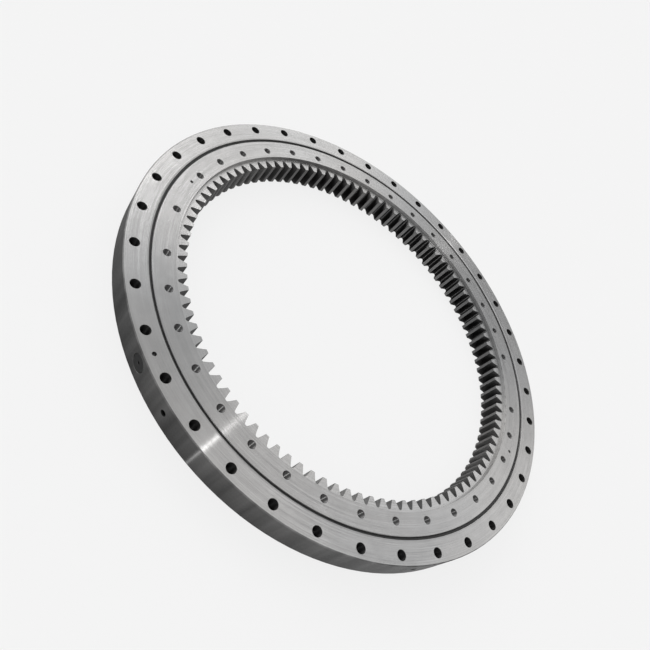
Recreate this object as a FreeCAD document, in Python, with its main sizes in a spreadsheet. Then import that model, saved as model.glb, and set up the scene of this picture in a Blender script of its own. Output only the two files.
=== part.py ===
"""Single-row four-point-contact ball slewing ring with an internal gear.

The gear ring stands on z = 0 and is bolted to the base of a machine. The outer ring turns
round it on a train of balls and spacers. +Z is the axis of rotation, and the origin is on
that axis at the foot of the gear ring. All lengths are in millimetres, angles in degrees.
"""
import FreeCAD, Part
import math
import os

import Sketcher

DIMENSIONS = {
    # Rings
    "overall_height": 77,
    "outer_ring_lift": 5,
    "gear_ring_drop": 2,
    "outer_ring_diameter": 1270,
    "outer_ring_bore": 1161,
    "gear_ring_diameter": 1147,
    "edge_chamfer": 2,
    "small_chamfer": 1,
    "edge_break": 0.3,
    "lip_chamfer_width": 3.5,
    "lip_chamfer_depth": 0.8,
    # Gear
    "tooth_module": 10,
    "tooth_count": 100,
    "pressure_angle": 20,
    "first_tooth_angle": 0.4,
    "addendum_ratio": 1,
    "dedendum_ratio": 1.25,
    "cutter_overrun_ratio": 0.2,
    "tooth_face_drop": 11,
    "step_diameter": 1038,
    "tooth_end_chamfer": 4,
    # Bolt holes
    "outer_bolt_circle": 1224,
    "outer_bolt_hole": 22,
    "outer_bolt_count": 36,
    "inner_bolt_circle": 1080,
    "inner_bolt_hole": 17.5,
    "inner_bolt_pitch": 10,
    "first_run_angle": 10,
    "first_run_count": 17,
    "second_run_angle": 190,
    "second_run_count": 16,
    "odd_bolt_angle": 355.5,
    # Rolling set
    "raceway_diameter": 1154,
    "raceway_height": 46,
    "ball_diameter": 38,
    "ball_clearance": 0.5,
    "contact_angle": 45,
    "groove_radius": 20,
    "set_count": 12,
    "balls_per_set": 7,
    "spacer_diameter": 26,
    "seat_radius": 19.4,
    # Filling plug and its pin
    "plug_angle": 35,
    "plug_diameter": 40,
    "plug_clearance": 0.05,
    "plug_recess": 1,
    "plug_tapping": 6.8,
    "plug_tapping_depth": 12,
    "pin_diameter": 10,
    "pin_foot": 18,
    "pin_recess": 8,
    "pin_taper": 0.5,
    "pin_clearance": 0.05,
    "pin_knockout": 6,
    # Grease ports and their plugs
    "port_angle": 45,
    "port_count": 6,
    "port_diameter": 10,
    "port_countersink": 14,
    "port_plug_length": 12,
    "port_plug_recess": 3,
    "port_plug_socket": 5,
    "port_plug_socket_depth": 6,
    "socket_sides": 6,
    # Seals
    "seal_groove_depth": 4.5,
    "seal_groove_height": 3.5,
    "upper_seal_groove": 68.5,
    "lower_seal_groove": 11,
    "seal_clearance": 0.5,
    "seal_heel": 0.5,
    "seal_rise": 1,
    "seal_bend": 3,
    "seal_crown": 1.2,
    "seal_bend_thickness": 2,
    "seal_lip_thickness": 1,
    "seal_neck": 2,
    # Small blind holes that mark the gear ring's unhardened spots
    "mark_diameter": 8.5,
    "mark_depth": 12,
    "mark_a_circle": 1088,
    "mark_a_angle": 344,
    "mark_b_circle": 1102,
    "mark_b_angle": 154.5,
}


class Size:
    """A length worked out from the sheet: its value now, and the expression that gives it."""

    def __init__(self, value, text):
        self.value = value
        self.text = text

    def _join(self, sign, other, value):
        text = other.text if isinstance(other, Size) else "(%r)" % other
        return Size(value, "(%s %s %s)" % (self.text, sign, text))

    def __add__(self, other):
        return self._join("+", other, self.value + number(other))

    def __sub__(self, other):
        return self._join("-", other, self.value - number(other))

    def __mul__(self, other):
        return self._join("*", other, self.value * number(other))

    def __truediv__(self, other):
        return self._join("/", other, self.value / number(other))

    def cosine_part(self, angle):
        """This length's part along X when it points at an angle from X."""
        return Size(self.value * math.cos(math.radians(angle.value)),
                    "(%s * cos(%s * 1deg))" % (self.text, angle.text))

    def sine_part(self, angle):
        """This length's part along Y when it points at an angle from X."""
        return Size(self.value * math.sin(math.radians(angle.value)),
                    "(%s * sin(%s * 1deg))" % (self.text, angle.text))


def number(size):
    """The value of a Size, or of a plain number."""
    return size.value if isinstance(size, Size) else size


def size_of(alias):
    """The Size of one cell of the sheet."""
    return Size(DIMENSIONS[alias], "dimensions." + alias)


def degrees(angle):
    """A plain number of degrees, as an angle that a property takes."""
    return Size(angle.value, "(%s * 1deg)" % angle.text)


def make_sheet():
    """Put every driving dimension in a cell with its name."""
    sheet = doc.addObject("Spreadsheet::Sheet", "dimensions")
    for row, (alias, value) in enumerate(DIMENSIONS.items(), start=1):
        sheet.set("A%d" % row, alias)
        sheet.set("B%d" % row, str(value))
        sheet.setAlias("B%d" % row, alias)
    doc.recompute()


def bind(item, path, size):
    """Drive a property from the sheet."""
    item.setExpression(path, size.text)


def make_body(label):
    """A new body, which may hold several separate solids."""
    body = doc.addObject("PartDesign::Body", label)
    body.Label = label
    body.AllowCompound = True
    return body


def origin_feature(body, role):
    """One of the body's own planes or axes."""
    return next(item for item in body.Origin.OriginFeatures if item.Role == role)


def add_sketch(body, name, plane, move=(), turn=None):
    """A sketch on an origin plane, moved along that plane's axes and turned about its normal."""
    sketch = body.newObject("Sketcher::SketchObject", name)
    sketch.AttachmentSupport = (origin_feature(body, plane), [""])
    sketch.MapMode = "FlatFace"
    if turn:
        normal = FreeCAD.Vector(0, 0, 1)
        sketch.AttachmentOffset = FreeCAD.Placement(FreeCAD.Vector(), FreeCAD.Rotation(normal, turn.value))
        bind(sketch, "AttachmentOffset.Rotation.Angle", degrees(turn))
    for component, size in zip("xyz", move):
        bind(sketch, "AttachmentOffset.Base." + component, size)
    return sketch


def constrain(sketch, kind, *place, size):
    """Add one dimension and drive it from the sheet."""
    index = sketch.addConstraint(Sketcher.Constraint(kind, *place, number(size)))
    bind(sketch, "Constraints[%d]" % index, size)


def draw_outline(sketch, points, arcs={}):
    """Draw a closed outline of lines and arcs.

    A coordinate given as a Size is a dimension. One given as a number is only where to start,
    and the arcs beside it settle it. arcs maps an edge's number to its centre and radius.
    """
    ends = []
    for edge, start in enumerate(points):
        end = points[(edge + 1) % len(points)]
        first = FreeCAD.Vector(number(start[0]), number(start[1]), 0)
        last = FreeCAD.Vector(number(end[0]), number(end[1]), 0)
        if edge not in arcs:
            sketch.addGeometry(Part.LineSegment(first, last))
            ends.append((1, 2))
            continue
        centre_x, centre_y, radius = arcs[edge]
        centre = FreeCAD.Vector(number(centre_x), number(centre_y), 0)
        turns_left = (first - centre).cross(last - centre).z >= 0
        low, high = (first, last) if turns_left else (last, first)
        angles = [math.atan2(corner.y - centre.y, corner.x - centre.x) for corner in (low, high)]
        circle = Part.Circle(centre, FreeCAD.Vector(0, 0, 1), number(radius))
        sketch.addGeometry(Part.ArcOfCircle(circle, *angles))
        ends.append((1, 2) if turns_left else (2, 1))
    for edge, (x, y) in enumerate(points):
        before = (edge - 1) % len(points)
        sketch.addConstraint(Sketcher.Constraint("Coincident", before, ends[before][1], edge, ends[edge][0]))
        if isinstance(x, Size):
            constrain(sketch, "DistanceX", edge, ends[edge][0], size=x)
        if isinstance(y, Size):
            constrain(sketch, "DistanceY", edge, ends[edge][0], size=y)
    for edge, (centre_x, centre_y, radius) in arcs.items():
        constrain(sketch, "DistanceX", edge, 3, size=centre_x)
        constrain(sketch, "DistanceY", edge, 3, size=centre_y)
        constrain(sketch, "Radius", edge, size=radius)


def turn_profile(body, kind, sketch, axis):
    """Revolve or groove a sketch a full turn about one of its own axes."""
    feature = body.newObject("PartDesign::" + kind, sketch.Name + "_" + kind.lower())
    feature.Profile = sketch
    feature.ReferenceAxis = (sketch, [axis])
    feature.Angle = 360
    sketch.Visibility = False
    return feature


def repeat_round(body, features, count, angle=None):
    """Repeat features about the ring's axis, over a full turn or an angle, as the body's shape."""
    pattern = body.newObject("PartDesign::PolarPattern", features[0].Name + "_pattern")
    pattern.Originals = features
    pattern.Axis = (origin_feature(body, "Z_Axis"), [""])
    bind(pattern, "Occurrences", count)
    if angle:
        bind(pattern, "Angle", degrees(angle))
    body.Tip = pattern


def turn_body(body, angle):
    """Turn a whole body about the ring's axis."""
    body.Placement = FreeCAD.Placement(FreeCAD.Vector(), FreeCAD.Rotation(FreeCAD.Vector(0, 0, 1), angle.value))
    bind(body, "Placement.Rotation.Angle", degrees(angle))


def raceway(side, wall, first_edge):
    """The three points and two arcs of one ring's half of the raceway, for its outline.

    side is 1 for the outer ring, whose wall is drawn downwards, and -1 for the gear ring, whose
    wall is drawn upwards. A ball touches four points, at the contact angle above and below its
    middle, so each half is two arcs with their centres set past the ball's centre.
    """
    groove = size_of("groove_radius")
    height = size_of("raceway_height")
    slack = groove - size_of("ball_diameter") / 2 - size_of("ball_clearance")
    offset = slack.cosine_part(size_of("contact_angle"))
    centre_x = size_of("raceway_diameter") / 2 - offset * side
    arcs = {first_edge: (centre_x, height - offset * side, groove),
            first_edge + 1: (centre_x, height + offset * side, groove)}
    deepest = centre_x.value + side * math.sqrt(groove.value ** 2 - offset.value ** 2)
    rise = math.sqrt(groove.value ** 2 - (wall.value - centre_x.value) ** 2) - offset.value
    middle = height.value
    points = [(wall, middle + side * rise), (deepest, middle), (wall, middle - side * rise)]
    return points, arcs


def add_upright_hole(body, name, circle, angle, diameter, foot, top):
    """Cut one through hole with a chamfer at each end, parallel to the ring's axis."""
    along_x = circle.cosine_part(angle) / 2
    along_y = circle.sine_part(angle) / 2
    sketch = add_sketch(body, name, "XZ_Plane", move=(along_x, ZERO, along_y * -1))
    margin = size_of("small_chamfer")
    flare = diameter / 2 + margin * 2
    draw_outline(sketch, [
        (ZERO, foot - margin),
        (flare, foot - margin),
        (diameter / 2, foot + margin),
        (diameter / 2, top - margin),
        (flare, top + margin),
        (ZERO, top + margin),
    ])
    return turn_profile(body, "Groove", sketch, "V_Axis")


def add_radial_hole(body, name, angle, diameter, mouth):
    """Cut one hole from the outer ring's rim into the raceway, with a countersunk mouth."""
    sketch = add_sketch(body, name, "XY_Plane", move=(ZERO, ZERO, size_of("raceway_height")), turn=angle)
    start = size_of("raceway_diameter") / 2
    rim = size_of("outer_ring_diameter") / 2
    depth = (mouth - diameter) / 2
    draw_outline(sketch, [
        (start, ZERO),
        (rim + depth, ZERO),
        (rim + depth, mouth / 2 + depth),
        (rim - depth, diameter / 2),
        (start, diameter / 2),
    ])
    return turn_profile(body, "Groove", sketch, "H_Axis")


def add_pin_hole(body):
    """Cut the filling plug pin's tapered hole, with a narrow hole below it to knock the pin out."""
    angle = size_of("plug_angle")
    circle = size_of("outer_bolt_circle")
    along_x = circle.cosine_part(angle) / 2
    along_y = circle.sine_part(angle) / 2
    sketch = add_sketch(body, "pin_hole", "XZ_Plane", move=(along_x, ZERO, along_y * -1))
    margin = size_of("small_chamfer")
    top_radius = size_of("pin_diameter") / 2 + size_of("pin_clearance")
    foot_radius = top_radius - size_of("pin_taper")
    draw_outline(sketch, [
        (ZERO, size_of("outer_ring_lift") - margin),
        (size_of("pin_knockout") / 2, size_of("outer_ring_lift") - margin),
        (size_of("pin_knockout") / 2, size_of("pin_foot")),
        (foot_radius, size_of("pin_foot")),
        (top_radius, size_of("overall_height") - size_of("pin_recess")),
        (top_radius, size_of("overall_height") + margin),
        (ZERO, size_of("overall_height") + margin),
    ])
    return turn_profile(body, "Groove", sketch, "V_Axis")


def make_outer_ring():
    """The ring that turns: a plain rim, the outer half of the raceway and the upper seal's groove."""
    body = make_body("outer_ring")
    rim = size_of("outer_ring_diameter") / 2
    bore = size_of("outer_ring_bore") / 2
    foot = size_of("outer_ring_lift")
    top = size_of("overall_height")
    edge = size_of("edge_chamfer")
    small = size_of("small_chamfer")
    seal = size_of("upper_seal_groove")
    seal_top = seal + size_of("seal_groove_height")
    seal_wall = bore + size_of("seal_groove_depth")
    outline = [
        (bore + small, foot),
        (rim - edge, foot),
        (rim, foot + edge),
        (rim, top - edge),
        (rim - edge, top),
        (bore + size_of("lip_chamfer_width"), top),
        (bore, top - size_of("lip_chamfer_depth")),
        (bore, seal_top),
        (seal_wall, seal_top),
        (seal_wall, seal),
        (bore, seal),
    ]
    points, arcs = raceway(1, bore, len(outline))
    outline += points + [(bore, foot + small)]
    section = add_sketch(body, "outer_ring_section", "XZ_Plane")
    draw_outline(section, outline, arcs)
    turn_profile(body, "Revolution", section, "V_Axis")
    bolt = add_upright_hole(body, "outer_bolt_hole", size_of("outer_bolt_circle"), ZERO,
                            size_of("outer_bolt_hole"), foot, top)
    repeat_round(body, [bolt], size_of("outer_bolt_count"))
    port = add_radial_hole(body, "grease_port", size_of("port_angle"),
                           size_of("port_diameter"), size_of("port_countersink"))
    repeat_round(body, [port], size_of("port_count"))
    add_radial_hole(body, "plug_hole", size_of("plug_angle"),
                    size_of("plug_diameter"), size_of("plug_diameter") + size_of("edge_chamfer"))
    add_pin_hole(body)
    return body


def tooth_space(radius):
    """Half the angle, in radians, of the gap between two teeth at a radius: an involute."""
    pitch_radius = DIMENSIONS["tooth_module"] * DIMENSIONS["tooth_count"] / 2
    pressure = math.radians(DIMENSIONS["pressure_angle"])
    local = math.acos(pitch_radius * math.cos(pressure) / radius)
    involute = math.tan(local) - local
    pitch_involute = math.tan(pressure) - pressure
    return math.pi / 2 / DIMENSIONS["tooth_count"] + pitch_involute - involute


def draw_tooth_space(sketch):
    """Draw one gap between teeth, pointing along X: two involute flanks and a round root."""
    module = DIMENSIONS["tooth_module"]
    pitch_radius = module * DIMENSIONS["tooth_count"] / 2
    addendum = module * DIMENSIONS["addendum_ratio"]
    mouth = pitch_radius - addendum - module * DIMENSIONS["cutter_overrun_ratio"]
    flank_end = pitch_radius + addendum
    root = FreeCAD.Vector(pitch_radius + module * DIMENSIONS["dedendum_ratio"], 0, 0)

    def flank_point(radius, side):
        angle = side * tooth_space(radius)
        return FreeCAD.Vector(radius * math.cos(angle), radius * math.sin(angle), 0)

    left = [flank_point(radius, 1) for radius in (mouth, pitch_radius, flank_end)]
    right = [flank_point(radius, -1) for radius in (flank_end, pitch_radius, mouth)]
    sketch.addGeometry([
        Part.Arc(*left),
        Part.Arc(left[2], root, right[0]),
        Part.Arc(*right),
        Part.LineSegment(right[2], left[0]),
    ])


def make_gear_ring():
    """The ring that is bolted down: teeth inside, the inner half of the raceway outside."""
    body = make_body("gear_ring")
    rim = size_of("gear_ring_diameter") / 2
    top = size_of("overall_height") - size_of("gear_ring_drop")
    tooth_top = size_of("overall_height") - size_of("tooth_face_drop")
    tip = size_of("tooth_module") * (size_of("tooth_count") / 2 - size_of("addendum_ratio"))
    step = size_of("step_diameter") / 2
    small = size_of("small_chamfer")
    edge_break = size_of("edge_break")
    end = size_of("tooth_end_chamfer")
    seal = size_of("lower_seal_groove")
    seal_top = seal + size_of("seal_groove_height")
    seal_wall = rim - size_of("seal_groove_depth")
    outline = [
        (tip + end, ZERO),
        (rim - small, ZERO),
        (rim, small),
        (rim, seal),
        (seal_wall, seal),
        (seal_wall, seal_top),
        (rim, seal_top),
    ]
    points, arcs = raceway(-1, rim, len(outline))
    outline += points + [
        (rim, top - small),
        (rim - small, top),
        (step + edge_break, top),
        (step, top - edge_break),
        (step, tooth_top),
        (tip + small, tooth_top),
        (tip, tooth_top - small),
        (tip, end),
    ]
    section = add_sketch(body, "gear_ring_section", "XZ_Plane")
    draw_outline(section, outline, arcs)
    turn_profile(body, "Revolution", section, "V_Axis")
    half_pitch = HALF_TURN / size_of("tooth_count")
    space = add_sketch(body, "tooth_space", "XY_Plane", turn=size_of("first_tooth_angle") + half_pitch)
    draw_tooth_space(space)
    cut = body.newObject("PartDesign::Pocket", "tooth_gap")
    cut.Profile = space
    cut.Reversed = True
    bind(cut, "Length", size_of("overall_height"))
    repeat_round(body, [cut], size_of("tooth_count"))
    bolt = size_of("inner_bolt_hole")
    circle = size_of("inner_bolt_circle")
    for name in ("first_run", "second_run"):
        count = size_of(name + "_count")
        hole = add_upright_hole(body, name, circle, size_of(name + "_angle"), bolt, ZERO, top)
        repeat_round(body, [hole], count, size_of("inner_bolt_pitch") * (count - 1))
    add_upright_hole(body, "odd_bolt_hole", circle, size_of("odd_bolt_angle"), bolt, ZERO, top)
    for mark in ("mark_a", "mark_b"):
        add_mark(body, mark, top)
    return body


def add_mark(body, name, top):
    """Drill one small blind hole in the gear ring's top face."""
    angle = size_of(name + "_angle")
    circle = size_of(name + "_circle")
    along_x = circle.cosine_part(angle) / 2
    along_y = circle.sine_part(angle) / 2
    sketch = add_sketch(body, name, "XZ_Plane", move=(along_x, ZERO, along_y * -1))
    radius = size_of("mark_diameter") / 2
    floor = top - size_of("mark_depth")
    draw_outline(sketch, [
        (ZERO, floor - radius / 2),
        (radius, floor),
        (radius, top + radius),
        (ZERO, top + radius),
    ])
    return turn_profile(body, "Groove", sketch, "V_Axis")


def make_upper_seal():
    """A rubber ring held in the outer ring, with its lip against the gear ring's wall."""
    body = make_body("upper_seal")
    bore = size_of("outer_ring_bore") / 2
    root = bore + size_of("seal_groove_depth")
    lip = size_of("gear_ring_diameter") / 2 + size_of("seal_clearance")
    foot = size_of("upper_seal_groove")
    top = foot + size_of("seal_groove_height")
    bend = bore - size_of("seal_bend")
    crown = top + size_of("seal_crown")
    section = add_sketch(body, "upper_seal_section", "XZ_Plane")
    draw_outline(section, [
        (bore, foot),
        (root, foot),
        (root, top),
        (bore, top),
        (bore - size_of("seal_heel"), top + size_of("seal_rise")),
        (bend, crown),
        (lip, top),
        (lip, top - size_of("seal_lip_thickness")),
        (bend, crown - size_of("seal_bend_thickness")),
        (bore - size_of("seal_neck"), foot),
    ])
    turn_profile(body, "Revolution", section, "V_Axis")
    return body


def make_lower_seal():
    """A rubber ring held in the gear ring, with its lip against the outer ring's wall."""
    body = make_body("lower_seal")
    rim = size_of("gear_ring_diameter") / 2
    root = rim - size_of("seal_groove_depth")
    lip = size_of("outer_ring_bore") / 2 - size_of("seal_clearance")
    foot = size_of("lower_seal_groove")
    top = foot + size_of("seal_groove_height")
    bend = rim + size_of("seal_bend")
    crown = foot - size_of("seal_crown")
    section = add_sketch(body, "lower_seal_section", "XZ_Plane")
    draw_outline(section, [
        (root, foot),
        (rim, foot),
        (rim + size_of("seal_heel"), foot - size_of("seal_rise")),
        (bend, crown),
        (lip, foot),
        (lip, foot + size_of("seal_lip_thickness")),
        (bend, crown + size_of("seal_bend_thickness")),
        (rim + size_of("seal_neck"), top),
        (rim, top),
        (root, top),
    ])
    turn_profile(body, "Revolution", section, "V_Axis")
    return body


def make_filling_plug():
    """The round plug in the hole that the balls go in by. Its inner end completes the raceway."""
    body = make_body("filling_plug")
    radius = size_of("plug_diameter") / 2 - size_of("plug_clearance")
    start = size_of("raceway_diameter") / 2
    end = size_of("outer_ring_diameter") / 2 - size_of("plug_recess")
    small = size_of("small_chamfer")
    tapping = size_of("plug_tapping") / 2
    floor = end - size_of("plug_tapping_depth")
    blank = add_sketch(body, "plug_blank", "XY_Plane",
                       move=(ZERO, ZERO, size_of("raceway_height")), turn=size_of("plug_angle"))
    draw_outline(blank, [
        (start, ZERO),
        (floor - tapping / 2, ZERO),
        (floor, tapping),
        (end - small, tapping),
        (end, tapping + small),
        (end, radius - small),
        (end - small, radius),
        (start, radius),
    ])
    turn_profile(body, "Revolution", blank, "H_Axis")
    bore = size_of("outer_ring_bore") / 2
    height = size_of("raceway_height")
    reach = size_of("plug_diameter") / 2 + small
    outline = [(bore, height + reach)]
    points, arcs = raceway(1, bore, len(outline))
    outline += points + [
        (bore, height - reach),
        (start - reach, height - reach),
        (start - reach, height + reach),
    ]
    trim = add_sketch(body, "plug_trim", "XZ_Plane")
    draw_outline(trim, outline, arcs)
    turn_profile(body, "Groove", trim, "V_Axis")
    add_pin_hole(body)
    return body


def make_plug_pin():
    """The taper pin that stops the filling plug turning or coming out."""
    body = make_body("filling_plug_pin")
    angle = size_of("plug_angle")
    circle = size_of("outer_bolt_circle")
    along_x = circle.cosine_part(angle) / 2
    along_y = circle.sine_part(angle) / 2
    section = add_sketch(body, "pin_section", "XZ_Plane", move=(along_x, ZERO, along_y * -1))
    radius = size_of("pin_diameter") / 2
    foot = size_of("pin_foot")
    top = size_of("overall_height") - size_of("pin_recess")
    draw_outline(section, [
        (ZERO, foot),
        (radius - size_of("pin_taper"), foot),
        (radius, top),
        (ZERO, top),
    ])
    turn_profile(body, "Revolution", section, "V_Axis")
    return body


def make_port_plugs():
    """The headless screws that close the grease ports, each with a hexagon socket."""
    body = make_body("grease_port_plugs")
    radius = size_of("port_diameter") / 2 - size_of("plug_clearance")
    end = size_of("outer_ring_diameter") / 2 - size_of("port_plug_recess")
    start = end - size_of("port_plug_length")
    small = size_of("small_chamfer")
    height = size_of("raceway_height")
    section = add_sketch(body, "port_plug_section", "XY_Plane", move=(ZERO, ZERO, height))
    draw_outline(section, [
        (start, ZERO),
        (end, ZERO),
        (end, radius - small),
        (end - small, radius),
        (start + small, radius),
        (start, radius - small),
    ])
    screw = turn_profile(body, "Revolution", section, "H_Axis")
    hexagon = add_sketch(body, "port_plug_socket", "YZ_Plane", move=(ZERO, height, end))
    half_corner = HALF_TURN / size_of("socket_sides")
    corner = size_of("port_plug_socket") / 2 / Size(1, "1").cosine_part(half_corner)
    corners = [half_corner * 2 * turn for turn in range(DIMENSIONS["socket_sides"])]
    draw_outline(hexagon, [(corner.cosine_part(angle), corner.sine_part(angle)) for angle in corners])
    socket = body.newObject("PartDesign::Pocket", "port_plug_pocket")
    socket.Profile = hexagon
    bind(socket, "Length", size_of("port_plug_socket_depth"))
    repeat_round(body, [screw, socket], size_of("port_count"))
    turn_body(body, size_of("port_angle"))
    return body


def make_ball_set(index):
    """A run of balls that fills its share of the raceway."""
    body = make_body("ball_set_%02d" % (index + 1))
    radius = size_of("ball_diameter") / 2
    section = add_sketch(body, body.Label + "_section", "XZ_Plane",
                         move=(size_of("raceway_diameter") / 2, size_of("raceway_height")))
    draw_outline(section, [(ZERO, -radius.value), (ZERO, radius.value)], {0: (ZERO, ZERO, radius)})
    ball = turn_profile(body, "Revolution", section, "V_Axis")
    count = size_of("balls_per_set")
    repeat_round(body, [ball], count, BALL_PITCH * (count - 1))
    turn_body(body, BALL_PITCH * count * index)
    return body


def make_spacer_set(index):
    """The spacers that keep a run of balls apart: short rods with a round seat at each end."""
    body = make_body("spacer_set_%02d" % (index + 1))
    circle = size_of("raceway_diameter") / 2
    half_pitch = BALL_PITCH / 2
    apart = circle.sine_part(half_pitch)
    seat = size_of("seat_radius")
    rim = size_of("spacer_diameter") / 2
    rim_height = apart.value - math.sqrt(seat.value ** 2 - rim.value ** 2)
    middle_height = apart.value - seat.value
    section = add_sketch(body, body.Label + "_section", "XY_Plane",
                         move=(circle, ZERO, size_of("raceway_height")))
    draw_outline(section, [
        (ZERO, -middle_height),
        (rim, -rim_height),
        (rim, rim_height),
        (ZERO, middle_height),
    ], {0: (ZERO, ZERO - apart, seat), 2: (ZERO, apart, seat)})
    spacer = turn_profile(body, "Revolution", section, "V_Axis")
    count = size_of("balls_per_set")
    repeat_round(body, [spacer], count, BALL_PITCH * (count - 1))
    turn_body(body, BALL_PITCH * count * index + half_pitch)
    return body


def check(bodies):
    """Stop if any object failed, or if a piece is missing, broken or in the wrong number of solids."""
    for item in doc.Objects:
        if "Invalid" in item.State or "Error" in item.State:
            raise RuntimeError("%s failed: %s" % (item.Name, item.State))
        if item.isDerivedFrom("PartDesign::FeatureSubtractive"):
            before = item.BaseFeature.Shape.Volume
            if not item.Shape.Volume < before:
                raise RuntimeError("%s cuts nothing" % item.Name)
    for body in bodies:
        shape = body.Shape
        if shape.isNull() or not shape.isValid():
            raise RuntimeError("%s has no valid shape" % body.Label)
        print("%-20s %3d solids  %14.1f mm3" % (body.Label, len(shape.Solids), shape.Volume))


doc = FreeCAD.newDocument("slewing_ring")
make_sheet()
ZERO = Size(0, "0")
HALF_TURN = Size(180, "180")
BALL_PITCH = HALF_TURN * 2 / (size_of("set_count") * size_of("balls_per_set"))
pieces = [
    make_outer_ring(),
    make_gear_ring(),
    make_upper_seal(),
    make_lower_seal(),
    make_filling_plug(),
    make_plug_pin(),
    make_port_plugs(),
]
for index in range(DIMENSIONS["set_count"]):
    pieces.append(make_ball_set(index))
    pieces.append(make_spacer_set(index))
doc.recompute()
check(pieces)
os.makedirs("parts", exist_ok=True)
for piece in pieces:
    piece.Shape.exportStep("parts/%s.step" % piece.Label)
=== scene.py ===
"""Looks of the slewing ring bearing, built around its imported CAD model. Units are metres."""

import math
from typing import NamedTuple

import bpy
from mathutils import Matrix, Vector


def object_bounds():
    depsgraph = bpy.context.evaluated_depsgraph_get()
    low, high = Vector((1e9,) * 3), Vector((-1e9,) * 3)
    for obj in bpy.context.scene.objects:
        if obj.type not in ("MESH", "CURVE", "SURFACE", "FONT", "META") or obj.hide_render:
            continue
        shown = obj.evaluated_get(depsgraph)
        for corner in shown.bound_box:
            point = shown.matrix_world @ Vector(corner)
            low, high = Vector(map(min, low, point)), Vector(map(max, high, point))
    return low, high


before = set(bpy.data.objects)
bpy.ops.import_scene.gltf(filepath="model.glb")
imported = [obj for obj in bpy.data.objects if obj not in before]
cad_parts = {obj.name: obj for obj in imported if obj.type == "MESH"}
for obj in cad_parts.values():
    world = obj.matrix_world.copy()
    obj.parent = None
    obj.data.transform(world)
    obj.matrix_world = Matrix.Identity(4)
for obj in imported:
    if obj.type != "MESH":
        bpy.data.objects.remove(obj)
cad_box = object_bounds()

# The ring, as the CAD model has it.
OVERALL_HEIGHT = cad_box[1][2]
RIM_RADIUS = cad_box[1][0]
OUTER_HOLE_CIRCLE_RADIUS = 0.612
OUTER_GAP_WALL_RADIUS = 0.583
INNER_GAP_WALL_RADIUS = 0.575
GEAR_HOLE_CIRCLE_RADIUS = 0.540
STEP_RADIUS = 0.519
TOOTH_PITCH_RADIUS = 0.500
TOOTH_TIP_RADIUS = 0.490
TOOTH_FACE_HEIGHT = 0.066
PORT_COUNT = 6
PORT_ANGLE_DEG = 45.0
PORT_HEIGHT = 0.046
PORT_MOUTH_RADIUS = 0.0074

# The camera, which stands over the filling plug's side of the ring and is rolled to the left.
CAMERA_PLACE = (0.72800, 1.00871, 1.07199)
CAMERA_TURN_DEG = (34.608, -33.758, -176.255)
CAMERA_LENS_MM = 33.54
CAMERA_SENSOR_MM = 36.0
CAMERA_SHIFT_Y = 0.0231
CAMERA_NEAREST = 0.05
CAMERA_FARTHEST = 200.0
CAMERA_AZIMUTH_DEG = 54.18

# A surface's facing is 0 on an upright wall and 1 on a level face. Below the first of these a
# hole's wall has its thread, below the second a surface is a wall, and above the third it is level.
THREAD_FACING = 0.4
WALL_FACING = 0.8
LEVEL_FACING = 0.97

# How far a noise usually swings from a half: a fine one and a soft one.
FINE_REACH = 0.25
SOFT_REACH = 0.2

# The lines that the lathe's tool leaves, and how far they vary the steel's shade and direction.
FINE_LINES_PER_METRE = 2000.0
BROAD_LINES_PER_METRE = 260.0
CHANGES_ALONG_PER_METRE = 1.4
FINE_SPREAD = 0.05
BROAD_SPREAD = 0.035
FACE_ROCKING = 0.45
ROCKS_PER_NOISE = 6.0

# The bands across the steel, strong on the rim, which is also lighter towards its top: painted light there,
# and painted shade towards its foot.
BANDS_PER_METRE = 26.0
FACE_BAND_SPREAD = 0.04
RIM_BAND_SPREAD = 0.45
RIM_FOOT_PAINTED_SHADE = 0.7
RIM_TOP_PAINTED_LIGHT = 1.35
RIM_DEPTH = 0.002

# The teeth's upper faces are a little lighter, a painted highlight, and the steel varies a little between
# cool and warm.
TOOTH_FACE_PAINTED_LIGHT = 1.15
TOOTH_FACE_FADE = 0.002
CLOUDS_PER_METRE = 1.7
COOL = -0.004
WARM = 0.014

# The painted shade that darkens the countersunk mouths of the grease ports.
PORT_MOUTH_PAINTED_SHADE = 0.06
PORT_MOUTH_SHADE_EDGE = 0.0003

# The grain of the small parts.
GRAIN_SPREAD = 0.15
CLOUD_SPREAD = 0.1
GRAINS_PER_CLOUD = 12
GRAIN_BUMP_STRENGTH = 0.3


def direction(azimuth_deg, elevation_deg):
    """The unit vector that points from the ring's middle towards an azimuth and elevation."""
    azimuth = math.radians(azimuth_deg)
    elevation = math.radians(elevation_deg)
    level = math.cos(elevation)
    return Vector((level * math.cos(azimuth), level * math.sin(azimuth), math.sin(elevation)))


def add_camera():
    data = bpy.data.cameras.new("camera")
    data.sensor_width = CAMERA_SENSOR_MM
    data.lens = CAMERA_LENS_MM
    data.shift_y = CAMERA_SHIFT_Y
    data.clip_start = CAMERA_NEAREST
    data.clip_end = CAMERA_FARTHEST
    camera = bpy.data.objects.new("camera", data)
    bpy.context.scene.collection.objects.link(camera)
    camera.location = CAMERA_PLACE
    camera.rotation_euler = [math.radians(a) for a in CAMERA_TURN_DEG]
    bpy.context.scene.camera = camera


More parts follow.
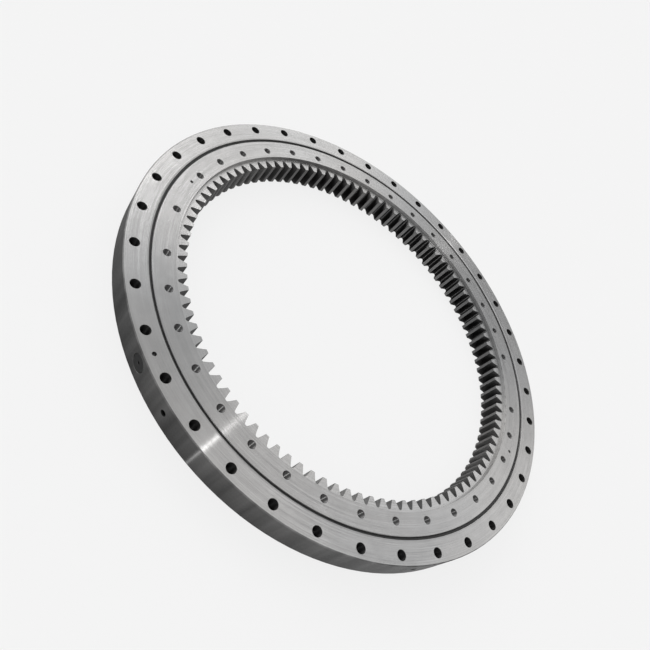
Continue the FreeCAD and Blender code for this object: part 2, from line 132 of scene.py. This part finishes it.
class Nodes:
    """A material's or world's node tree, with short calls for the nodes that the looks use."""

    def __init__(self, tree):
        self.tree = tree
        tree.nodes.clear()

    def add(self, kind, **settings):
        node = self.tree.nodes.new(kind)
        for name, value in settings.items():
            setattr(node, name, value)
        return node

    def put(self, socket, value):
        """Sets a socket to a number or colour, or links it to an output."""
        if isinstance(value, bpy.types.NodeSocket):
            self.tree.links.new(value, socket)
        else:
            socket.default_value = value

    def surface(self, shader, output_kind="ShaderNodeOutputMaterial"):
        """Makes a shader the one that the tree gives out."""
        output = self.add(output_kind)
        self.put(output.inputs["Surface"], shader.outputs[0])

    def math(self, operation, *values):
        node = self.add("ShaderNodeMath", operation=operation)
        for i, value in enumerate(values):
            self.put(node.inputs[i], value)
        return node.outputs[0]

    def product(self, first, *others):
        """All the numbers multiplied together."""
        total = first
        for value in others:
            total = self.math("MULTIPLY", total, value)
        return total

    def vector_math(self, operation, *values):
        node = self.add("ShaderNodeVectorMath", operation=operation)
        for i, value in enumerate(values):
            self.put(node.inputs[i], value)
        gives_number = operation in ("LENGTH", "DOT_PRODUCT")
        return node.outputs["Value" if gives_number else "Vector"]

    def scale(self, vector, amount):
        """A vector or colour with its three parts multiplied by a number."""
        node = self.add("ShaderNodeVectorMath", operation="SCALE")
        self.put(node.inputs[0], vector)
        self.put(node.inputs["Scale"], amount)
        return node.outputs[0]

    def combine(self, x, y, z):
        node = self.add("ShaderNodeCombineXYZ")
        for i, value in enumerate((x, y, z)):
            self.put(node.inputs[i], value)
        return node.outputs[0]

    def split(self, vector):
        node = self.add("ShaderNodeSeparateXYZ")
        self.put(node.inputs[0], vector)
        return node.outputs

    def noise(self, vector, scale=1.0, detail=2.0, roughness=0.5):
        node = self.add("ShaderNodeTexNoise")
        self.put(node.inputs["Vector"], vector)
        node.inputs["Scale"].default_value = scale
        node.inputs["Detail"].default_value = detail
        node.inputs["Roughness"].default_value = roughness
        return node.outputs["Fac"]

    def range(self, value, from_low, from_high, to_low, to_high, smooth=False):
        node = self.add("ShaderNodeMapRange")
        if smooth:
            node.interpolation_type = "SMOOTHSTEP"
        for i, number in enumerate((value, from_low, from_high, to_low, to_high)):
            self.put(node.inputs[i], number)
        return node.outputs[0]

    def vary(self, noise, reach, spread):
        """A factor that swings about 1 by the spread, as the noise swings about a half by the reach."""
        return self.range(noise, 0.5 - reach, 0.5 + reach, 1.0 - spread, 1.0 + spread)

    def blend(self, share, first, second):
        """A number between two numbers."""
        node = self.add("ShaderNodeMix", data_type="FLOAT")
        self.put(node.inputs["Factor"], share)
        self.put(node.inputs[2], first)
        self.put(node.inputs[3], second)
        return node.outputs[0]

    def mix(self, share, first, second):
        """A colour or vector between two."""
        node = self.add("ShaderNodeMix", data_type="RGBA")
        self.put(node.inputs["Factor"], share)
        self.put(node.inputs[6], first)
        self.put(node.inputs[7], second)
        return node.outputs[2]


def new_material(name):
    material = bpy.data.materials.new(name)
    material.use_nodes = True
    return material, Nodes(material.node_tree)


def tinted_white(warm):
    """White with a touch of warmth, or of coolness where it is below zero."""
    return (1.0 + warm, 1.0, 1.0 - warm, 1.0)


class Wall(NamedTuple):
    """One kind of upright wall on a ring: where it is and how its steel looks.

    It reaches to both sides of its middle radius. Rocking is how far the tool's lines tilt the
    surface, and thread is how far a thread's flanks lean it up.
    """

    middle_radius: float
    reach: float
    grey: float
    roughness: float
    rocking: float
    thread: float


OUTER_RING_WALLS = [
    # The rim, in a dark grey that is painted shade.
    Wall(RIM_RADIUS, 0.006, 0.155, 0.13, 0.25, 0.0),
    # The bolt holes, near black with painted shade.
    Wall(OUTER_HOLE_CIRCLE_RADIUS, 0.0125, 0.05, 0.45, 0.12, 0.0),
    # The wall beside the gap.
    Wall(OUTER_GAP_WALL_RADIUS, 0.010, 0.45, 0.30, 0.12, 0.0),
]
GEAR_RING_WALLS = [
    # The wall beside the gap.
    Wall(INNER_GAP_WALL_RADIUS, 0.010, 0.30, 0.30, 0.12, 0.0),
    # The threaded holes, in a darker grey that is painted shade.
    Wall(GEAR_HOLE_CIRCLE_RADIUS, 0.0095, 0.11, 0.20, 0.12, 1.7),
    # The step down to the teeth.
    Wall(STEP_RADIUS, 0.001, 0.30, 0.30, 0.12, 0.0),
    # The teeth, in a darker grey that paints the shade between them.
    Wall(TOOTH_PITCH_RADIUS, 0.0132, 0.17, 0.50, 0.12, 0.0),
    # Their tips.
    Wall(TOOTH_TIP_RADIUS, 0.0006, 0.24, 0.30, 0.12, 0.0),
]


def ring_place(nodes):
    """A point on a ring: its place, radius and height, and how far its surface faces up or down."""
    place = nodes.add("ShaderNodeTexCoord")
    point = place.outputs["Object"]
    x, y, z = nodes.split(point)
    radius = nodes.vector_math("LENGTH", nodes.combine(x, y, 0.0))
    facing = nodes.math("ABSOLUTE", nodes.split(place.outputs["Normal"])[2])
    return point, radius, z, facing


def line_noise(nodes, point, radius, z, lines_per_metre):
    """Uneven lines that run round the ring, side by side across a face or up a wall."""
    x, y, _ = nodes.split(point)
    outward = nodes.product(radius, lines_per_metre)
    along = nodes.product(x, CHANGES_ALONG_PER_METRE)
    upward = nodes.math("MULTIPLY_ADD", z, lines_per_metre, nodes.product(y, CHANGES_ALONG_PER_METRE))
    return nodes.noise(nodes.combine(outward, along, upward))


def world_direction(nodes, vector):
    turn = nodes.add("ShaderNodeVectorTransform", vector_type="VECTOR")
    turn.convert_from = "OBJECT"
    turn.convert_to = "WORLD"
    nodes.put(turn.inputs[0], vector)
    return turn.outputs[0]


def lathe_normal(nodes, facing, fine, rocking, thread):
    """The direction along the tool's lines, and a surface direction that rocks across them.

    The lines run level round whatever axis the surface was turned about: the ring's own on a
    flat face, and a hole's own on its wall. Most of them rock a little and a few rock a lot. In
    a thread they all lean up, as the upper flanks of its turns do.
    """
    place = nodes.add("ShaderNodeTexCoord")
    x, y, _ = nodes.split(place.outputs["Object"])
    is_level = nodes.math("GREATER_THAN", facing, LEVEL_FACING)
    outward = nodes.mix(is_level, place.outputs["Normal"], nodes.combine(x, y, 0.0))
    around = nodes.vector_math("CROSS_PRODUCT", (0.0, 0.0, 1.0), outward)
    along = nodes.vector_math("NORMALIZE", world_direction(nodes, around))
    normal = nodes.add("ShaderNodeNewGeometry").outputs["Normal"]
    across = nodes.vector_math("CROSS_PRODUCT", along, normal)
    rock = nodes.range(nodes.math("FRACT", nodes.product(fine, ROCKS_PER_NOISE)), 0.0, 1.0, -1.0, 1.0)
    amount = nodes.math("SUBTRACT", nodes.product(rock, rock, rock, rocking), thread)
    lean = nodes.scale(across, amount)
    rocked = nodes.vector_math("NORMALIZE", nodes.vector_math("ADD", normal, lean))
    return along, rocked


def port_mouths(nodes, point, z):
    """Near zero in the countersunk mouths of the grease ports, where it paints their shade, and one
    elsewhere.
    """
    x, y, _ = nodes.split(point)
    angle = nodes.math("SUBTRACT", nodes.math("ARCTAN2", y, x), math.radians(PORT_ANGLE_DEG))
    half_pitch = math.pi / PORT_COUNT
    aside = nodes.product(nodes.math("WRAP", angle, half_pitch, -half_pitch), RIM_RADIUS)
    up = nodes.math("SUBTRACT", z, PORT_HEIGHT)
    distance = nodes.vector_math("LENGTH", nodes.combine(aside, up, 0.0))
    inner = PORT_MOUTH_RADIUS - PORT_MOUTH_SHADE_EDGE
    outer = PORT_MOUTH_RADIUS + PORT_MOUTH_SHADE_EDGE
    return nodes.range(distance, inner, outer, PORT_MOUTH_PAINTED_SHADE, 1.0)


def bands(nodes, point, radius, z, upright):
    """A factor for the bands across the steel, faint on the faces and strong on the rim, times the rim's
    painted light, which grows towards its top.
    """
    x, y, _ = nodes.split(point)
    spot = nodes.combine(nodes.product(x, BANDS_PER_METRE), nodes.product(y, BANDS_PER_METRE), 0.0)
    streaks = nodes.noise(spot, detail=3.0)
    on_rim = nodes.product(upright, nodes.math("GREATER_THAN", radius, RIM_RADIUS - RIM_DEPTH))
    face_band = nodes.vary(streaks, SOFT_REACH, FACE_BAND_SPREAD)
    rim_band = nodes.vary(streaks, SOFT_REACH, RIM_BAND_SPREAD)
    # Painted shade at the rim's foot and painted light at its top.
    rim_painted_light = nodes.range(z, 0.0, OVERALL_HEIGHT, RIM_FOOT_PAINTED_SHADE, RIM_TOP_PAINTED_LIGHT)
    return nodes.product(nodes.blend(on_rim, face_band, rim_band), nodes.blend(on_rim, 1.0, rim_painted_light))


def turned_steel(name, face_grey, face_roughness, walls, has_ports=False):
    """Steel turned on a lathe: its lines run round the axis, so its highlights spread across them."""
    material, nodes = new_material(name)
    point, radius, z, facing = ring_place(nodes)
    fine = line_noise(nodes, point, radius, z, FINE_LINES_PER_METRE)
    broad = line_noise(nodes, point, radius, z, BROAD_LINES_PER_METRE)
    upright = nodes.math("LESS_THAN", facing, WALL_FACING)

    # At and below the teeth's upper faces the grey is raised: a painted highlight.
    tooth_face_end = TOOTH_FACE_HEIGHT + TOOTH_FACE_FADE
    level = nodes.range(z, TOOTH_FACE_HEIGHT, tooth_face_end, face_grey * TOOTH_FACE_PAINTED_LIGHT, face_grey)
    looks = [level, face_roughness, FACE_ROCKING, 0.0]
    for wall in walls:
        here = nodes.product(upright, nodes.math("COMPARE", radius, wall.middle_radius, wall.reach))
        own_looks = (wall.grey, wall.roughness, wall.rocking, wall.thread)
        looks = [nodes.blend(here, before, own) for before, own in zip(looks, own_looks)]
    level, roughness, rocking, thread = looks
    thread = nodes.product(thread, nodes.math("LESS_THAN", facing, THREAD_FACING))

    # The bands, with the rim's painted light and shade.
    bands_and_painted_light = bands(nodes, point, radius, z, upright)
    # Painted shade in the countersunk mouths of the grease ports.
    if has_ports:
        bands_and_painted_light = nodes.product(bands_and_painted_light, port_mouths(nodes, point, z))
    fine_shade = nodes.vary(fine, FINE_REACH, FINE_SPREAD)
    broad_shade = nodes.vary(broad, FINE_REACH, BROAD_SPREAD)
    shade = nodes.product(level, fine_shade, broad_shade, bands_and_painted_light)
    warmth = nodes.range(nodes.noise(point, CLOUDS_PER_METRE), 0.35, 0.65, 0.0, 1.0, smooth=True)
    tint = nodes.mix(warmth, tinted_white(COOL), tinted_white(WARM))
    along, rocked = lathe_normal(nodes, facing, fine, rocking, thread)

    shader = nodes.add("ShaderNodeBsdfPrincipled")
    nodes.put(shader.inputs["Base Color"], nodes.scale(tint, shade))
    shader.inputs["Metallic"].default_value = 1.0
    nodes.put(shader.inputs["Roughness"], roughness)
    shader.inputs["Anisotropic"].default_value = 1.0
    shader.inputs["Anisotropic Rotation"].default_value = 0.25
    nodes.put(shader.inputs["Tangent"], along)
    nodes.put(shader.inputs["Normal"], rocked)
    nodes.surface(shader)
    return material


def plain_piece(name, colour, roughness, metallic, bump_size, grains_per_metre):
    """A small part's surface: one colour with a fine grain in its shade, gloss and height."""
    material, nodes = new_material(name)
    place = nodes.add("ShaderNodeTexCoord").outputs["Object"]
    grain = nodes.noise(place, grains_per_metre, 4.0, 0.6)
    cloud = nodes.noise(place, grains_per_metre / GRAINS_PER_CLOUD)
    grain_shade = nodes.vary(grain, FINE_REACH, GRAIN_SPREAD)
    shade = nodes.product(grain_shade, nodes.vary(cloud, SOFT_REACH, CLOUD_SPREAD))
    glossiest = roughness * (1.0 - GRAIN_SPREAD)
    dullest = roughness * (1.0 + GRAIN_SPREAD)
    shader = nodes.add("ShaderNodeBsdfPrincipled")
    nodes.put(shader.inputs["Base Color"], nodes.scale(colour, shade))
    shader.inputs["Metallic"].default_value = metallic
    nodes.put(shader.inputs["Roughness"], nodes.range(grain, 0.2, 0.8, glossiest, dullest))
    bump = nodes.add("ShaderNodeBump")
    bump.inputs["Strength"].default_value = GRAIN_BUMP_STRENGTH
    bump.inputs["Distance"].default_value = bump_size
    nodes.put(bump.inputs["Height"], grain)
    nodes.put(shader.inputs["Normal"], bump.outputs[0])
    nodes.surface(shader)
    return material


def dress(node_name, material):
    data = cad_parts[node_name].data
    data.materials.clear()
    data.materials.append(material)


def dress_all():
    rubber = plain_piece("seal_rubber", (0.014, 0.014, 0.014), 0.5, 0.0, 0.0001, 900.0)
    # The filling plug's dark grey is painted shade, like the rim's.
    plug = plain_piece("plug_steel", (0.075, 0.075, 0.075), 0.45, 1.0, 0.00005, 1400.0)
    pin = plain_piece("pin_steel", (0.55, 0.55, 0.55), 0.35, 1.0, 0.00005, 1800.0)
    # The grease port plugs are near black: painted shade, so that the ports look like dark holes.
    port_plug = plain_piece("port_plug_steel", (0.012, 0.012, 0.012), 0.45, 1.0, 0.00005, 1800.0)
    ball = plain_piece("ball_steel", (0.75, 0.75, 0.76), 0.08, 1.0, 0.00001, 900.0)
    nylon = plain_piece("spacer_nylon", (0.72, 0.68, 0.55), 0.45, 0.0, 0.00005, 1200.0)
    single_pieces = {
        "outer_ring": turned_steel("outer_ring_steel", 0.45, 0.085, OUTER_RING_WALLS, has_ports=True),
        "gear_ring": turned_steel("gear_ring_steel", 0.44, 0.115, GEAR_RING_WALLS),
        "upper_seal": rubber,
        "lower_seal": rubber,
        "filling_plug": plug,
        "filling_plug_pin": pin,
        "grease_port_plugs": port_plug,
    }
    for name, material in single_pieces.items():
        dress(name, material)
    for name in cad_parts:
        if name.startswith("ball_set"):
            dress(name, ball)
        elif name.startswith("spacer_set"):
            dress(name, nylon)


# The paper floor, which glows so that it is as pale as the background all over.
FLOOR_RADIUS = 60.0
FLOOR_CORNERS = 64
FLOOR_DROP = 0.0005
FLOOR_GREY = 0.10
FLOOR_GLOW = 0.893
PALE = 0.913


def add_floor():
    angles = [2 * math.pi * i / FLOOR_CORNERS for i in range(FLOOR_CORNERS)]
    corners = [(FLOOR_RADIUS * math.cos(a), FLOOR_RADIUS * math.sin(a), 0.0) for a in angles]
    mesh = bpy.data.meshes.new("floor")
    mesh.from_pydata(corners, [], [list(range(FLOOR_CORNERS))])
    floor = bpy.data.objects.new("floor", mesh)
    bpy.context.scene.collection.objects.link(floor)
    floor.location.z = -FLOOR_DROP
    floor.visible_glossy = False
    material, nodes = new_material("floor_paper")
    matt = nodes.add("ShaderNodeBsdfDiffuse")
    matt.inputs["Color"].default_value = (FLOOR_GREY, FLOOR_GREY, FLOOR_GREY, 1.0)
    glow = nodes.add("ShaderNodeEmission")
    glow.inputs["Color"].default_value = (PALE, PALE, PALE, 1.0)
    glow.inputs["Strength"].default_value = FLOOR_GLOW
    both = nodes.add("ShaderNodeAddShader")
    nodes.put(both.inputs[0], matt.outputs[0])
    nodes.put(both.inputs[1], glow.outputs[0])
    nodes.surface(both)
    mesh.materials.append(material)


# The studio round the ring: each soft light's azimuth and elevation, how tight it is, and its strength.
STUDIO_LOBES = [
    # The lights that the level faces mirror towards the camera.
    (195.0, 30.0, 25.0, 1.16),
    (210.0, 30.0, 25.0, 0.51),
    (210.0, 55.0, 25.0, 0.53),
    (225.0, 55.0, 25.0, 0.80),
    (240.0, 30.0, 25.0, 0.37),
    (255.0, 10.0, 25.0, 2.08),
    (255.0, 30.0, 25.0, 0.53),
    (285.0, 30.0, 25.0, 1.84),
    (300.0, 30.0, 8.0, 1.50),
    (300.0, 30.0, 25.0, 1.32),
    (315.0, 30.0, 8.0, 1.04),
    # A broad light on the camera's side, and a small one that the threads of the holes mirror.
    (55.0, 30.0, 5.0, 0.5),
    (54.0, 63.0, 200.0, 11.0),
    # Broad lights for the ring's other sides and for the view from above.
    (110.0, 22.0, 4.0, 0.80),
    (5.0, 25.0, 6.0, 0.60),
    (0.0, 90.0, 6.0, 0.25),
    # Broad lights from below, for the rim.
    (54.0, -57.0, 3.0, 0.30),
    (165.0, -40.0, 4.0, 0.16),
]
UNDER_GLOW = 0.18
HORIZON_GLOW = 0.8

# The strip light that runs over and under the ring in the camera's upright plane. Its half width is
# the sine of an angle. Each stretch has the angles where it starts and ends, counted up from level on
# the camera's side, and its strength.
STRIP_HALF_WIDTH = 0.0038
STRIP_FADE_DEG = 6.0
STRIP_STRETCHES = [
    (66.0, 126.0, 3.9),
    (-78.0, -27.0, 2.6),
]


def strip_light(nodes, look):
    """The strip light's strength in each direction."""
    across = nodes.vector_math("DOT_PRODUCT", look, direction(CAMERA_AZIMUTH_DEG + 90, 0))
    ahead = nodes.vector_math("DOT_PRODUCT", look, direction(CAMERA_AZIMUTH_DEG, 0))
    swing = nodes.math("ARCTAN2", nodes.split(look)[2], ahead)
    share = nodes.math("DIVIDE", across, STRIP_HALF_WIDTH)
    narrow = nodes.math("EXPONENT", nodes.product(share, share, -1.0))
    fade = math.radians(STRIP_FADE_DEG)
    along = 0.0
    for start_deg, end_deg, strength in STRIP_STRETCHES:
        start = math.radians(start_deg)
        end = math.radians(end_deg)
        rising = nodes.range(swing, start - fade, start + fade, 0.0, strength, smooth=True)
        falling = nodes.range(swing, end + fade, end - fade, 0.0, 1.0, smooth=True)
        along = nodes.math("MULTIPLY_ADD", rising, falling, along)
    return nodes.product(narrow, along)


def add_studio():
    """Lights the ring from all round. The camera itself sees an even pale background.

    Shiny surfaces don't mirror the floor, so the studio also has glows below the horizon.
    """
    world = bpy.data.worlds.new("studio")
    bpy.context.scene.world = world
    world.use_nodes = True
    nodes = Nodes(world.node_tree)
    look = nodes.add("ShaderNodeTexCoord").outputs["Generated"]
    height = nodes.split(look)[2]
    below = nodes.range(height, 0.05, -0.15, 0.0, UNDER_GLOW, smooth=True)
    horizon_foot = nodes.range(height, -0.45, -0.15, 0.0, HORIZON_GLOW, smooth=True)
    horizon_top = nodes.range(height, 0.1, -0.05, 0.0, 1.0, smooth=True)
    total = nodes.math("ADD", below, nodes.product(horizon_foot, horizon_top))
    for azimuth_deg, elevation_deg, tightness, strength in STUDIO_LOBES:
        towards = nodes.vector_math("DOT_PRODUCT", look, direction(azimuth_deg, elevation_deg))
        fall = nodes.math("EXPONENT", nodes.product(nodes.math("SUBTRACT", towards, 1.0), tightness))
        total = nodes.math("MULTIPLY_ADD", fall, strength, total)
    total = nodes.math("ADD", total, strip_light(nodes, look))
    lit = nodes.add("ShaderNodeBackground")
    nodes.put(lit.inputs["Strength"], total)
    seen = nodes.add("ShaderNodeBackground")
    seen.inputs["Color"].default_value = (PALE, PALE, PALE, 1.0)
    path = nodes.add("ShaderNodeLightPath")
    choice = nodes.add("ShaderNodeMixShader")
    nodes.put(choice.inputs[0], path.outputs["Is Camera Ray"])
    nodes.put(choice.inputs[1], lit.outputs[0])
    nodes.put(choice.inputs[2], seen.outputs[0])
    nodes.surface(choice, "ShaderNodeOutputWorld")


# The weak, broad light overhead.
TOP_LIGHT_ELEVATION_DEG = 85.0
TOP_LIGHT_STRENGTH = 0.05
TOP_LIGHT_WIDTH_DEG = 40.0


def add_top_light():
    data = bpy.data.lights.new("top_light", "SUN")
    data.energy = TOP_LIGHT_STRENGTH
    data.angle = math.radians(TOP_LIGHT_WIDTH_DEG)
    lamp = bpy.data.objects.new("top_light", data)
    bpy.context.scene.collection.objects.link(lamp)
    towards = direction(CAMERA_AZIMUTH_DEG, TOP_LIGHT_ELEVATION_DEG)
    lamp.rotation_euler = towards.to_track_quat("Z", "Y").to_euler()


add_camera()
add_floor()
add_studio()
add_top_light()
dress_all()

bpy.context.scene.view_settings.view_transform = "Standard"
